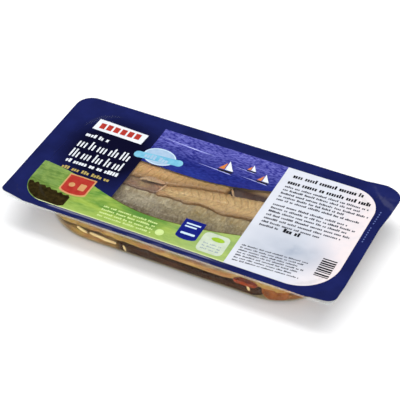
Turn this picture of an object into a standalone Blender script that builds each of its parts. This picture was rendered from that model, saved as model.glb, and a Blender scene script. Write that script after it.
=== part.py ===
"""A sealed tray of smoked herring fillets in oil: a clear tray, a lidding film and the fish inside.

The origin is on the table under the middle of the tray's rim. X runs along the tray, with the ends to the
left and right, -Y is the front and +Z is up.
"""

import math

import bmesh
import bpy
from mathutils import Euler, Vector

MM = 0.001

# Driving sizes, in millimetres
RIM_LENGTH = 260.0
RIM_WIDTH = 128.6
RIM_THICKNESS = 0.8

# The rim's corner radii: back right, back left, front left and front right
RIM_CORNERS = (12.0, 13.0, 4.5, 6.5)

PACK_HEIGHT = 27.5
FILM_THICKNESS = 0.3
TOUCH_GAP = 0.3
WALL = 0.7

# The mouth of the tray, which sits a little to the right in its rim
MOUTH_LEFT = -115.0
MOUTH_RIGHT = 122.0
MOUTH_FRONT = -60.5
MOUTH_BACK = 56.0
MOUTH_CORNER = 44.0
END_DRAFT = 18.0
SIDE_DRAFT = 6.0
FOOT_ROUND = 6.0

# The film's corners that stand up: on which side in X and Y, how far the rise reaches and how high it gets
RAISED_CORNERS = ((1, 1, 26.0, 2.5), (-1, -1, 21.0, 4.4), (1, -1, 20.0, 2.5))
DRAWN_IN = 0.65

# How far from the rim's corners the film is flat again
FLAT_FROM = 31.0

# How finely round shapes are divided
CORNER_STEPS = 10
FOOT_STEPS = 5
WALL_STEPS = 3
FILLET_STATIONS = 22
FILLET_SIDES = 20
CARROT_SIDES = 24
ONION_STATIONS = 12
ONION_SIDES = 8

# How far the contents keep from the wall, and the share of a fillet's run that rounds its whole or cut end
WALL_CLEARANCE = 0.5
WHOLE_END = 0.10
CUT_END = 0.04

# The power that shapes a fillet's cross-section: 1 is an ellipse, and less makes its cut edges fuller
EDGE_FULLNESS = 0.55

RIM_TOP = PACK_HEIGHT - FILM_THICKNESS - TOUCH_GAP
BODY_DEPTH = RIM_TOP


def clear_scene():
    for thing in list(bpy.data.objects):
        bpy.data.objects.remove(thing, do_unlink=True)


def make_material(name, colour, roughness, alpha=1.0):
    material = bpy.data.materials.new(name)
    material.use_nodes = True
    surface = material.node_tree.nodes["Principled BSDF"]
    surface.inputs["Base Color"].default_value = (*colour, 1.0)
    surface.inputs["Roughness"].default_value = roughness
    surface.inputs["Metallic"].default_value = 0.0
    surface.inputs["Alpha"].default_value = alpha
    return material


def finish_object(name, mesh_builder, material, smooth_degrees=40.0):
    """Turns a finished bmesh, in millimetres, into an object with faces pointing out."""
    bmesh.ops.recalc_face_normals(mesh_builder, faces=mesh_builder.faces)
    bmesh.ops.scale(mesh_builder, vec=(MM, MM, MM), verts=mesh_builder.verts)
    mesh = bpy.data.meshes.new(name)
    mesh_builder.to_mesh(mesh)
    mesh_builder.free()
    mesh.materials.append(material)
    mesh.shade_smooth()
    mesh.set_sharp_from_angle(angle=math.radians(smooth_degrees))
    piece = bpy.data.objects.new(name, mesh)
    bpy.context.scene.collection.objects.link(piece)
    return piece


def rounded_rectangle(left, right, front, back, radii):
    """Points round a rectangle with round corners, counter-clockwise from the back right corner."""
    points = []
    corners = ((right, back, -1, -1, 0.0), (left, back, 1, -1, 90.0), (left, front, 1, 1, 180.0),
               (right, front, -1, 1, 270.0))
    for (corner_x, corner_y, to_x, to_y, start), radius in zip(corners, radii):
        centre_x = corner_x + to_x * radius
        centre_y = corner_y + to_y * radius
        for step in range(CORNER_STEPS + 1):
            angle = math.radians(start + 90.0 * step / CORNER_STEPS)
            points.append((centre_x + radius * math.cos(angle), centre_y + radius * math.sin(angle)))
    return points


def rim_outline(inset=0.0):
    half_length = RIM_LENGTH / 2 - inset
    half_width = RIM_WIDTH / 2 - inset
    radii = [max(radius - inset * 0.3, 3.0) for radius in RIM_CORNERS]
    return rounded_rectangle(-half_length, half_length, -half_width, half_width, radii)


def wall_insets(height, wall):
    """How far the ends and sides have come in from the mouth at this height, for a wall of this thickness."""
    depth = RIM_TOP - height
    straight = min(depth, BODY_DEPTH - FOOT_ROUND)
    ends = straight * math.tan(math.radians(END_DRAFT)) + wall
    sides = straight * math.tan(math.radians(SIDE_DRAFT)) + wall
    below = depth - straight
    if below > 0.0:
        foot = FOOT_ROUND - wall
        rise = min(below / foot, 1.0)
        curve = foot * (1.0 - math.sqrt(1.0 - rise * rise))
        ends += curve
        sides += curve
    return ends, sides


def tray_section(height, wall):
    """The tray's outline at a height: its outside for no wall, its inside for the wall's thickness."""
    ends, sides = wall_insets(height, wall)
    radii = [MOUTH_CORNER - wall] * 4
    return rounded_rectangle(
        MOUTH_LEFT + ends, MOUTH_RIGHT - ends, MOUTH_FRONT + sides, MOUTH_BACK - sides, radii
    )


def section_heights(wall):
    """Heights from the rim down to the foot of one surface of the wall."""
    heights = []
    for step in range(1, WALL_STEPS + 1):
        heights.append(RIM_TOP - (BODY_DEPTH - FOOT_ROUND) * step / WALL_STEPS)
    foot = FOOT_ROUND - wall
    for step in range(1, FOOT_STEPS + 1):
        angle = math.radians(90.0 * step / FOOT_STEPS)
        heights.append(FOOT_ROUND - foot * math.sin(angle))
    return heights


def add_ring(builder, points, height):
    return [builder.verts.new((x, y, height)) for x, y in points]


def bridge(builder, first, second):
    count = len(first)
    for index in range(count):
        after = (index + 1) % count
        builder.faces.new((first[index], first[after], second[after], second[index]))


def loft(builder, rings):
    """Joins rings one after another and closes the first and the last with a flat face."""
    for first, second in zip(rings, rings[1:]):
        bridge(builder, first, second)
    builder.faces.new(rings[0])
    builder.faces.new(rings[-1])


def make_tray(material):
    builder = bmesh.new()
    inside = [add_ring(builder, tray_section(z, WALL), z) for z in reversed(section_heights(WALL))]
    mouth = add_ring(builder, tray_section(RIM_TOP, WALL), RIM_TOP)
    rim_top = add_ring(builder, rim_outline(), RIM_TOP)
    rim_under = add_ring(builder, rim_outline(), RIM_TOP - RIM_THICKNESS)
    under_height = RIM_TOP - RIM_THICKNESS
    under_mouth = add_ring(builder, tray_section(under_height, 0.0), under_height)
    outside = [add_ring(builder, tray_section(z, 0.0), z) for z in section_heights(0.0)]
    loft(builder, inside + [mouth, rim_top, rim_under, under_mouth] + outside)
    return finish_object("tray", builder, material)


def film_place(x, y, height):
    """Where a point of the flat film comes to lie: its corners stand up, and its front left one is drawn in."""
    rises = []
    for side, end, reach, lift in RAISED_CORNERS:
        from_corner = (RIM_LENGTH / 2 - side * x) + (RIM_WIDTH / 2 - end * y)
        rises.append(lift * max(0.0, 1.0 - from_corner / reach) ** 0.8)
    return Vector((x + DRAWN_IN * rises[1], y, height + sum(rises)))


def film_outline(inset):
    """The rim's outline with two points more on each side, between which the film lies flat."""
    outline = rim_outline(inset)
    points = []
    for here, after in zip(outline, outline[1:] + outline[:1]):
        points.append(here)
        if abs(here[0] - after[0]) > FLAT_FROM:
            points += [(math.copysign(RIM_LENGTH / 2 - FLAT_FROM, place[0]), here[1]) for place in (here, after)]
        elif abs(here[1] - after[1]) > FLAT_FROM:
            points += [(here[0], math.copysign(RIM_WIDTH / 2 - FLAT_FROM, place[1])) for place in (here, after)]
    return points


def make_film(material):
    builder = bmesh.new()
    insets = (24.0, 18.0, 13.0, 9.0, 5.0, 2.0, 0.0)
    top = PACK_HEIGHT
    under = top - FILM_THICKNESS
    rings = [add_ring(builder, film_outline(inset), top) for inset in insets]
    rings += [add_ring(builder, film_outline(inset), under) for inset in reversed(insets)]
    loft(builder, rings)
    for vert in builder.verts:
        vert.co = film_place(vert.co.x, vert.co.y, vert.co.z)
    return finish_object("lid_film", builder, material)


def tuck_inside(point, clearance):
    """Moves a point of the contents in from the wall, so that it lies inside the tray."""
    height = max(point.z, WALL + clearance)
    ends, sides = wall_insets(height, WALL)
    radius = MOUTH_CORNER - WALL - clearance
    left = MOUTH_LEFT + ends + clearance + radius
    right = MOUTH_RIGHT - ends - clearance - radius
    front = MOUTH_FRONT + sides + clearance + radius
    back = MOUTH_BACK - sides - clearance - radius
    core = Vector((min(max(point.x, left), right), min(max(point.y, front), back)))
    offset = Vector((point.x, point.y)) - core
    if offset.length > radius:
        offset *= radius / offset.length
    return Vector((core.x + offset.x, core.y + offset.y, height))


def front_wall(x, height, clearance):
    """The Y of a place this far inside the front wall."""
    ends, sides = wall_insets(height, WALL)
    radius = MOUTH_CORNER - WALL - clearance
    left = MOUTH_LEFT + ends + clearance + radius
    right = MOUTH_RIGHT - ends - clearance - radius
    beyond = max(left - x, x - right, 0.0)
    return MOUTH_FRONT + sides + clearance + radius - math.sqrt(radius**2 - beyond**2)


def fillet_width(along, head, tail, head_end):
    """The share of a fillet's full width at a place along it, from the head end (0) to the tail end (1)."""
    body = head + (tail - head) * along**1.6
    ends = 1.0
    for from_end, rounding in ((along, head_end), (1.0 - along, WHOLE_END)):
        inward = max(0.0, 1.0 - from_end / rounding)
        ends *= math.sqrt(1.0 - inward * inward)
    return body * ends


def make_fillet(name, material, ends, middles, half_width, thickness, height, roll, head, tail, crown=0.0,
                head_end=WHOLE_END):
    """A fish fillet along X: a slab with full cut edges that runs from its head end to its tail end.

    The middle line's Y is given at both ends, and head and tail are the shares of the full width there. The
    roll is how much the height changes for each millimetre from the middle line towards the back, and the
    crown is how far the slab's sides hang below its middle.
    """
    builder = bmesh.new()
    rings = []
    for station in range(FILLET_STATIONS + 1):
        along = 0.003 + 0.994 * (0.5 - 0.5 * math.cos(math.pi * station / FILLET_STATIONS))
        x = ends[0] + (ends[1] - ends[0]) * along
        middle = middles[0] + (middles[1] - middles[0]) * along
        share = fillet_width(along, head, tail, head_end)
        thick = thickness / 2 * (0.45 + 0.55 * share) * min(1.0, share * 2.5)
        ring = []
        for side in range(FILLET_SIDES):
            angle = 2 * math.pi * side / FILLET_SIDES
            across = math.cos(angle)
            y = middle + half_width * share * across
            rise = math.copysign(abs(math.sin(angle)) ** EDGE_FULLNESS, math.sin(angle))
            z = height + roll * (y - middle) - crown * across**2 + thick * rise
            ring.append(builder.verts.new(tuck_inside(Vector((x, y, z)), WALL_CLEARANCE)))
        rings.append(ring)
    loft(builder, rings)
    return finish_object(name, builder, material, 60.0)


def make_carrot(name, material, centre, half_length, half_width, thickness, lean):
    """An oval slice of carrot with softened edges, its face leaning forward by an angle in degrees."""
    builder = bmesh.new()
    edge = thickness * 0.3
    half = thickness / 2
    profile = ((edge, -half), (0.0, edge - half), (0.0, half - edge), (edge, half))
    turn = Euler((math.radians(lean), 0.0, 0.0))
    rings = []
    for inset, height in profile:
        ring = []
        for step in range(CARROT_SIDES):
            angle = 2 * math.pi * step / CARROT_SIDES
            x = (half_length - inset) * math.cos(angle)
            y = (half_width - inset) * math.sin(angle)
            local = Vector((x, y, height))
            local.rotate(turn)
            ring.append(builder.verts.new(tuck_inside(Vector(centre) + local, WALL_CLEARANCE)))
        rings.append(ring)
    loft(builder, rings)
    return finish_object(name, builder, material)


def make_onion(name, material, start, end, sag, width, thickness):
    """A strip of onion that lies against the front wall, between two points (X, Z), bowed down by its sag."""
    builder = bmesh.new()
    rings = []
    run = Vector((end[0] - start[0], end[1] - start[1]))
    for station in range(ONION_STATIONS + 1):
        along = station / ONION_STATIONS
        slim = 0.35 + 0.65 * math.sin(math.pi * along) ** 0.5
        x = start[0] + run.x * along
        z = start[1] + run.y * along - sag * 4 * along * (1 - along)
        slope = Vector((run.x, run.y - sag * 4 * (1 - 2 * along))).normalized()
        ring = []
        for side in range(ONION_SIDES):
            angle = 2 * math.pi * side / ONION_SIDES
            across = width / 2 * slim * math.cos(angle)
            height = z + slope.x * across
            inward = WALL_CLEARANCE + thickness / 2 * (1.0 + math.sin(angle))
            place = x - slope.y * across
            ring.append(builder.verts.new(Vector((place, front_wall(place, height, inward), height))))
        rings.append(ring)
    loft(builder, rings)
    return finish_object(name, builder, material)


def make_fillets():
    """Two layers: the lower one lies on the floor of the tray, the upper one fills the window."""
    golden = make_material("golden_flesh", (0.52, 0.30, 0.11), 0.35)
    pink = make_material("pink_flesh", (0.45, 0.24, 0.16), 0.35)
    silver = make_material("silver_skin", (0.38, 0.33, 0.26), 0.30)
    dark = make_material("dark_skin", (0.10, 0.06, 0.05), 0.35)

    make_fillet(
        "fillet_front", silver, (112.0, -106.0), (-32.3, -32.3), 25.0, 9.0, 19.7, -0.02, 1.0, 0.8, crown=3.4)
    make_fillet("fillet_left", pink, (-31.5, -76.0), (-6.0, -8.6), 5.5, 4.0, 21.9, -0.12, 1.0, 0.7)
    make_fillet("fillet_middle", golden, (112.0, -30.5), (12.0, -6.5), 12.3, 7.0, 21.3, -0.12, 1.0, 0.35)
    make_fillet(
        "fillet_top", golden, (20.0, -104.0), (30.8, 9.7), 23.5, 6.5, 21.8, -0.15, 0.9, 0.8, head_end=CUT_END)
    make_fillet(
        "fillet_dark", dark, (23.0, 110.0), (33.5, 44.0), 20.0, 8.0, 19.0, -0.05, 1.0, 0.7, head_end=CUT_END)
    make_fillet("fillet_lower_front", dark, (-100.0, 108.0), (-28.0, -26.0), 26.0, 9.0, 6.2, 0.0, 1.0, 0.6)
    make_fillet("fillet_lower_back", dark, (106.0, -100.0), (24.0, 24.0), 24.0, 9.0, 6.2, 0.0, 1.0, 0.8)


def make_vegetables():
    carrot = make_material("carrot", (0.75, 0.20, 0.03), 0.35)
    onion = make_material("onion", (0.80, 0.66, 0.45), 0.30)

    make_carrot("carrot_upper", carrot, (63.0, -51.0, 12.6), 10.5, 8.5, 3.0, 0.0)
    make_carrot("carrot_lower", carrot, (83.8, -50.6, 7.8), 10.0, 6.8, 2.6, 62.0)
    make_onion("onion_left", onion, (-68.5, 13.0), (-61.0, 9.6), 0.3, 3.0, 1.3)
    make_onion("onion_right", onion, (-58.5, 10.8), (-37.5, 8.4), 0.4, 3.0, 1.3)


def main():
    clear_scene()
    make_tray(make_material("clear_plastic", (0.82, 0.84, 0.85), 0.12, 0.35))
    make_film(make_material("printed_film", (0.02, 0.02, 0.15), 0.30))
    make_fillets()
    make_vegetables()


main()
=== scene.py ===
"""The looks of a sealed tray of smoked herring fillets in oil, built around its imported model.

A clear tray holds the fish, and a printed film is sealed on its rim. The film is clear only in its window.
The print is thin ink on the film, and every colour of ink is a piece of its own.
"""

import math
import random

import bmesh
import bpy
from mathutils import Euler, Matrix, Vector, noise


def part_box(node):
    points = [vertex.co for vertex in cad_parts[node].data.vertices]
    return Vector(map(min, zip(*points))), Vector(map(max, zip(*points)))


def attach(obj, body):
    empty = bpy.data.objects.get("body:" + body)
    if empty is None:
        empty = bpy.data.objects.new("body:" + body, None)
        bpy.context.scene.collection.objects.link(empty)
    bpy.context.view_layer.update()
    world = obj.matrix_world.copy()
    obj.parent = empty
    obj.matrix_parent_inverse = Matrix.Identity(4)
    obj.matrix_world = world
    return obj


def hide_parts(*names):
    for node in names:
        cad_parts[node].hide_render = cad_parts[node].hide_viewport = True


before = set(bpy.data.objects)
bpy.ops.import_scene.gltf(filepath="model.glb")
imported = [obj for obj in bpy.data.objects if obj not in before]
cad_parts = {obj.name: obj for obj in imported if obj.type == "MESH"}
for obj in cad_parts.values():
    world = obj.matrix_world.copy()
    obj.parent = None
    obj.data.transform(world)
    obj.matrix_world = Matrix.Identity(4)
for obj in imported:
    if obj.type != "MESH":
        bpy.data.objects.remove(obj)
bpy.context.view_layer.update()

MM = 0.001

# Sizes in millimetres, from the frame
TRAY_BOX = [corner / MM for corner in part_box("tray")]
RIM_LENGTH = TRAY_BOX[1].x - TRAY_BOX[0].x
RIM_WIDTH = TRAY_BOX[1].y - TRAY_BOX[0].y
FILM_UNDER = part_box("lid_film")[0].z / MM

# The tray, as its solid has it: the rim's corner radii are back right, back left, front left and front right
RIM_CORNERS = (12.0, 13.0, 4.5, 6.5)
WALL = 0.7
MOUTH_LEFT = -115.0
MOUTH_RIGHT = 122.0
MOUTH_FRONT = -60.5
MOUTH_BACK = 56.0
MOUTH_CORNER = 44.0
END_DRAFT = 18.0
SIDE_DRAFT = 6.0
FOOT_ROUND = 6.0

# The film's corners that stand up: the side in X and in Y, how far the rise reaches and how high it gets.
# At the right the film also reaches past the rim, by more at the back, where it can be peeled.
RAISED_CORNERS = ((1, 1, 26.0, 2.5), (-1, -1, 21.0, 4.4), (1, -1, 20.0, 2.5))
DRAWN_IN = 0.65
OVERHANG = 1.3
PEEL_TAB = 2.9
TAB_START = 20.0
TAB_FULL = 50.0

# The film lies on the rim, and the inks lie on the film
RIM_TOP = FILM_UNDER - 0.02
RIM_THICKNESS = 0.9
LIP_DROP = 1.5
LIP_THICKNESS = 0.5
FILM_THICKNESS = 0.1
INK_THICKNESS = 0.02
INK_STEP = 0.05
GROUND_LIFT = FILM_THICKNESS + 0.01
FIELD_LIFT = GROUND_LIFT + INK_STEP
BADGE_LIFT = FIELD_LIFT + INK_STEP
MARK_LIFT = BADGE_LIFT + INK_STEP
FILM_GRID = 2.0
FILM_DIP = 0.35
FILM_WAVES = 0.22
FILM_WRINKLES = 0.16

# The seal's two ridges: how far inside the mouth's edge they run, and how wide and high they are
SEAL_INSIDE = (-1.4, 1.2)
SEAL_WIDTH = 0.6
SEAL_HEIGHT = 0.5
SEAL_LINES = [0.5 * step - 1.5 for step in range(12)]

# The print
PRINT_LEFT = -117.0
PRINT_RIGHT = 122.0
PRINT_FRONT = -58.5
PRINT_BACK = 53.5
MEADOW_CORNER = 20.0
PANEL_FRONT_CORNER = 30.0
PANEL_BACK_CORNER = 22.0
TITLE_LEFT = -105.0
TITLE_RIGHT = -60.0
WINDOW_LEFT = -54.0
PANEL_LEFT = 47.0
OVERLAP = 0.6

# Boats: the left end and front of each, and its size, which is 1 for a hull of 10.6 mm
BOATS = ((0.0, 28.0, 1.3), (20.0, 36.5, 0.8), (31.0, 28.5, 1.05))
BOAT_SHAPES = {
    "ink_sails": ((4.6, 2.2), (4.6, 10.0), (9.5, 2.2)),
    "ink_small_sails": ((4.0, 2.2), (4.0, 8.0), (0.8, 2.2)),
    "ink_hulls": ((0.0, 1.6), (1.4, 0.0), (8.6, 0.0), (10.6, 1.6)),
    "ink_foam": ((-12.0, 0.9), (10.0, -0.9), (8.0, -0.2), (-2.0, 0.5)),
}

# Plain inks: a colour and the colour of its mottle, with the mottle's size where it is finer than usual
PLAIN_INKS = {
    # olive is laid only along the meadow's edge, as painted shadow
    "olive": ("#5a5226", "#474020", 3.0),
    "bush_brown": ("#1c1607", "#332a12", 3.0),
    "plate_white": ("#d6d9dd", "#c6ccd2"),
    "signal_red": ("#a2352d", "#932922"),
    "warm_yellow": ("#a8965a", "#988648"),
    "cyan": ("#5f9fbd", "#79b4c8"),
    "ice_blue": ("#9db3c8", "#8ca6c0"),
    "mist": ("#b9c3b0", "#acb7a2"),
    "pale_blue": ("#bccfdc", "#aec4d6"),
    "cream": ("#bd8f62", "#b08052"),
    "bright_blue": ("#151d70", "#101766"),
    "dull_blue": ("#5c6aa0", "#505d94"),
    "pale_green": ("#bacd88", "#adc27c"),
    "pale_grey": ("#8e99a2", "#808b96"),
    "leaf_green": ("#8fb033", "#84a32e"),
    "black": ("#1a1a1e", "#242328"),
    "grey": ("#4c4d55", "#404149"),
    "orange": ("#c87c40", "#b86a34"),
    "foam": ("#a9aee0", "#8f96d4"),
}

# The contents: a whole end or a cut one rounds a fillet over this share of its length
OIL_LEVEL = 17.0
TOUCH = 0.35
WHOLE_END = 0.10
CUT_END = 0.04
EDGE_FULLNESS = 0.55
FLAKE_LENGTH = 5.2
SCALE_SIZE = 2.2
FINE = 1.0


# Small helpers


def linear(hex_colour):
    """An sRGB hex colour as linear red, green and blue, with alpha."""
    channels = []
    for start in (1, 3, 5):
        value = int(hex_colour[start:start + 2], 16) / 255
        channels.append(value / 12.92 if value <= 0.04045 else ((value + 0.055) / 1.055) ** 2.4)
    return (*channels, 1.0)


def add(tree, kind, inputs=None, **settings):
    """Adds a shader node, sets its properties, and sets or links its inputs by name or number.

    An input takes a number, a vector, a hex colour, a socket, or a node, whose first live output is linked.
    """
    node = tree.nodes.new("ShaderNode" + kind)
    for name, value in settings.items():
        setattr(node, name, value)
    for name, value in (inputs or {}).items():
        if isinstance(name, str):
            name = [socket.name == name and socket.enabled for socket in node.inputs].index(True)
        if isinstance(value, bpy.types.Node):
            value = [output for output in value.outputs if output.enabled][0]
        if isinstance(value, bpy.types.NodeSocket):
            tree.links.new(value, node.inputs[name])
        elif isinstance(value, str):
            node.inputs[name].default_value = linear(value)
        else:
            node.inputs[name].default_value = value
    return node


def smooth_step(low, high, value):
    share = min(max((value - low) / (high - low), 0.0), 1.0)
    return share * share * (3.0 - 2.0 * share)


def bump_at(value, centre, width):
    """A smooth bump of height 1 round a centre."""
    return math.exp(-(((value - centre) / width) ** 2))


def wave_noise(x, y, z=0.0):
    return noise.noise(Vector((x, y, z)))


# Shapes of the tray and film


def rounded_box(left, right, front, back, radius, steps=10):
    """Points round a box with round corners, counter-clockwise from the back right corner."""
    points = []
    corners = (
        (right - radius, back - radius, 0.0),
        (left + radius, back - radius, 90.0),
        (left + radius, front + radius, 180.0),
        (right - radius, front + radius, 270.0),
    )
    for centre_x, centre_y, start in corners:
        points += arc(centre_x, centre_y, radius, start, start + 90.0, steps)
    return points


def arc(centre_x, centre_y, radius, start, end, steps):
    """Points along an arc between two angles in degrees."""
    points = []
    for step in range(steps + 1):
        angle = math.radians(start + (end - start) * step / steps)
        points.append((centre_x + radius * math.cos(angle), centre_y + radius * math.sin(angle)))
    return points


def box_distance(x, y, left, right, front, back, radius):
    """How far a point lies inside a box with round corners, negative outside."""
    across = abs(x - (left + right) / 2) - ((right - left) / 2 - radius)
    deep = abs(y - (front + back) / 2) - ((back - front) / 2 - radius)
    outside = math.hypot(max(across, 0.0), max(deep, 0.0))
    return radius - outside - min(max(across, deep), 0.0)


def wall_insets(height, wall):
    """How far the ends and sides have come in from the mouth at this height, for a wall of this thickness."""
    rim = TRAY_BOX[1].z
    depth = rim - height
    straight = min(depth, rim - FOOT_ROUND)
    ends = straight * math.tan(math.radians(END_DRAFT)) + wall
    sides = straight * math.tan(math.radians(SIDE_DRAFT)) + wall
    below = depth - straight
    if below > 0.0:
        foot = FOOT_ROUND - wall
        rise = min(below / foot, 1.0)
        curve = foot * (1.0 - math.sqrt(1.0 - rise * rise))
        ends += curve
        sides += curve
    return ends, sides


def wall_core(height, clearance):
    """The box one corner radius inside the wall at this height, with a clearance, and that radius."""
    ends, sides = wall_insets(height, WALL)
    radius = MOUTH_CORNER - WALL - clearance
    left = MOUTH_LEFT + ends + clearance + radius
    right = MOUTH_RIGHT - ends - clearance - radius
    front = MOUTH_FRONT + sides + clearance + radius
    back = MOUTH_BACK - sides - clearance - radius
    return left, right, front, back, radius


def tray_section(height, wall, steps=24):
    """The tray's outline at a height: its outside for no wall, its inside for the wall's thickness."""
    ends, sides = wall_insets(height, wall)
    outline = rounded_box(MOUTH_LEFT + ends, MOUTH_RIGHT - ends, MOUTH_FRONT + sides, MOUTH_BACK - sides,
                          MOUTH_CORNER - wall, steps)
    return [Vector((x, y, height)) for x, y in outline]


def rim_outline(inset, steps=24):
    """Points round the rim, counter-clockwise from its back right corner, each corner with its own radius."""
    points = []
    corners = ((1, 1, 0.0), (-1, 1, 90.0), (-1, -1, 180.0), (1, -1, 270.0))
    for (side, end, start), corner in zip(corners, RIM_CORNERS):
        centre_x = side * (RIM_LENGTH / 2 - corner)
        centre_y = end * (RIM_WIDTH / 2 - corner)
        points += arc(centre_x, centre_y, corner - inset, start, start + 90.0, steps)
    return points


def tuck_inside(point, clearance):
    """Moves a point of the contents in from the wall, so that it lies inside the tray."""
    height = max(point.z, WALL + clearance)
    left, right, front, back, radius = wall_core(height, clearance)
    core = Vector((min(max(point.x, left), right), min(max(point.y, front), back)))
    offset = Vector((point.x, point.y)) - core
    if offset.length > radius:
        offset *= radius / offset.length
    return Vector((core.x + offset.x, core.y + offset.y, height))


def front_wall(x, height, clearance):
    """The Y of a place this far inside the front wall."""
    left, right, front, _, radius = wall_core(height, clearance)
    beyond = max(left - x, x - right, 0.0)
    return front - math.sqrt(radius**2 - beyond**2)


def corner_rises(x, y):
    """How far the film's back right, front left and front right corners stand up here."""
    rises = []
    for side, end, reach, lift in RAISED_CORNERS:
        from_corner = (RIM_LENGTH / 2 - side * x) + (RIM_WIDTH / 2 - end * y)
        rises.append(lift * max(0.0, 1.0 - from_corner / reach) ** 0.8)
    return rises


def film_shift(x, y):
    """How far the film is drawn in at its front left corner, and reaches past the rim at the right."""
    right = max(0.0, (x - MOUTH_RIGHT) / (RIM_LENGTH / 2 - MOUTH_RIGHT))
    back = min(max((y - TAB_START) / (TAB_FULL - TAB_START), 0.0), 1.0)
    return DRAWN_IN * corner_rises(x, y)[1] + right * (OVERHANG + PEEL_TAB * back)


def film_rise(x, y):
    """How far the film stands above its plane: it dips over the mouth, and three of its corners stand up.

    The seal's ridges come and go along the mouth's edge. They fade at its corners and towards the back right.
    """
    inside = box_distance(x, y, MOUTH_LEFT, MOUTH_RIGHT, MOUTH_FRONT, MOUTH_BACK, MOUTH_CORNER * 0.6)
    over_mouth = smooth_step(1.0, 12.0, inside)
    near_corner = smooth_step(96.0, 84.0, abs(x)) + smooth_step(40.0, 30.0, abs(y))
    pressed = (0.08 + 0.92 * smooth_step(52.0, 30.0, x)) * (0.05 + 0.95 * smooth_step(10.0, -20.0, y))
    outer = smooth_step(-0.1, 0.5, wave_noise(x / 14.0, y / 14.0, 9.3))
    inner = smooth_step(-0.9, -0.2, wave_noise(x / 16.0, y / 16.0, 1.7))
    outer *= bump_at(inside, SEAL_INSIDE[0], SEAL_WIDTH)
    inner *= bump_at(inside, SEAL_INSIDE[1], SEAL_WIDTH)
    seal = SEAL_HEIGHT * (outer + inner) * min(near_corner, 1.0) * pressed
    waves = FILM_WAVES * wave_noise(x / 34.0, y / 24.0, 3.1)
    wrinkles = FILM_WRINKLES * wave_noise(x / 5.0 + y / 11.0, y / 26.0, 7.7) * smooth_step(-62.0, -84.0, x)
    dip = FILM_DIP * smooth_step(-1.0, 9.0, inside)
    return seal - dip + (waves + wrinkles) * over_mouth + sum(corner_rises(x, y))


# Modelling


def deselect():
    bpy.ops.object.select_all(action="DESELECT")


def select_only(piece):
    deselect()
    bpy.context.view_layer.objects.active = piece
    piece.select_set(True)


def edit(piece):
    select_only(piece)
    bpy.ops.object.mode_set(mode="EDIT")
    bpy.ops.mesh.select_mode(type="VERT")
    bpy.ops.mesh.select_all(action="SELECT")


def done_editing():
    bpy.ops.object.mode_set(mode="OBJECT")


def apply_modifier(piece, kind, **settings):
    modifier = piece.modifiers.new(kind.title(), kind)
    for name, value in settings.items():
        setattr(modifier, name, value)
    select_only(piece)
    bpy.ops.object.modifier_apply(modifier=modifier.name)


def finish_piece(piece, material, smooth_degrees=50.0, replaces=()):
    """Gives a piece its material and its smooth faces, and lets it ride with the pack."""
    piece.data.materials.clear()
    piece.data.materials.append(material)
    select_only(piece)
    bpy.ops.object.shade_smooth_by_angle(angle=math.radians(smooth_degrees))
    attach(piece, "root")
    if replaces:
        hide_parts(*replaces)
    return piece


def loft(name, rings):
    """Extrudes a ring of points through all the rings that follow it, and closes both ends.

    The mesh's points come out ring by ring, in the order of the rings given.
    """
    sides = len(rings[0])
    deselect()
    bpy.ops.mesh.primitive_circle_add(vertices=sides, radius=MM)
    piece = bpy.context.object
    piece.name = name
    edit(piece)
    for number, ring in enumerate(rings):
        if number:
            bpy.ops.mesh.extrude_region_move()
        mesh = bmesh.from_edit_mesh(piece.data)
        mesh.verts.ensure_lookup_table()
        for side, point in enumerate(ring):
            mesh.verts[number * sides + side].co = point * MM
    bpy.ops.mesh.edge_face_add()
    bpy.ops.mesh.select_all(action="DESELECT")
    mesh = bmesh.from_edit_mesh(piece.data)
    mesh.verts.ensure_lookup_table()
    for side in range(sides):
        mesh.verts[side].select = True
    mesh.select_flush(True)
    bpy.ops.mesh.edge_face_add()
    bpy.ops.mesh.select_all(action="SELECT")
    bpy.ops.mesh.normals_make_consistent(inside=False)
    done_editing()
    return piece


def store(piece, name, values):
    """Keeps one number for each point of a mesh, for its material to read."""
    attribute = piece.data.attributes.new(name, "FLOAT", "POINT")
    attribute.data.foreach_set("value", values)


def cut_along(axis, places):
    """Cuts the mesh being edited at places along an axis, and marks the cuts."""
    for place in places:
        point = [0.0, 0.0, 0.0]
        normal = [0.0, 0.0, 0.0]
        point[axis] = place
        normal[axis] = 1.0
        bpy.ops.mesh.select_all(action="SELECT")
        bpy.ops.mesh.bisect(plane_co=point, plane_no=normal)
        bpy.ops.mesh.mark_seam()


def grid_lines(low, high, extra):
    """Places of the film's grid between two limits, with finer lines where the seal runs."""
    first = math.ceil((low + 0.01) / FILM_GRID)
    last = math.floor((high - 0.01) / FILM_GRID)
    lines = [number * FILM_GRID for number in range(first, last + 1)]
    return lines + [place for place in extra if low < place < high]


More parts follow.
